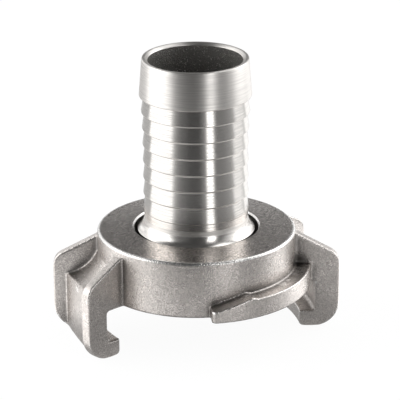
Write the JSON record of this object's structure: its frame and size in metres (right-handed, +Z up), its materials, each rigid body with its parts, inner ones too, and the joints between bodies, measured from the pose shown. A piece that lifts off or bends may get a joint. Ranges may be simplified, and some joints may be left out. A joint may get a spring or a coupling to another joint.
{
  "type": "claw coupling with hose tail",
  "caption": "Twist-lock claw coupling: a cast steel ring with hooked claws and ramped lips, a barbed hose tail that swivels in it, and a rubber face seal.",
  "frame": {"origin": "on the bore's axis, at the level of the claws' lower faces on which the coupling stands", "axes": "+Z up the bore, from the mating face to the hose end; +X through the middle of one claw; +Y completes a right-handed frame"},
  "size_m": [0.0542, 0.0454, 0.0564],
  "materials": {
    "cast_steel": "investment cast stainless steel, bead blasted, with turned front and rear faces",
    "turned_steel": "turned stainless steel, fine lathe lines, bright",
    "seal_rubber": "moulded black rubber, matt"
  },
  "bodies": {
    "coupling": {"claw_ring": "cast_steel", "face_seal": "seal_rubber"},
    "tail": {"hose_tail": "turned_steel"}
  },
  "joints": [
    {"name": "tail_swivel", "type": "hinge", "parent": "coupling", "child": "tail", "pos_m": [0, 0, 0.017], "axis": [0, 0, 1], "continuous": true}
  ]
}
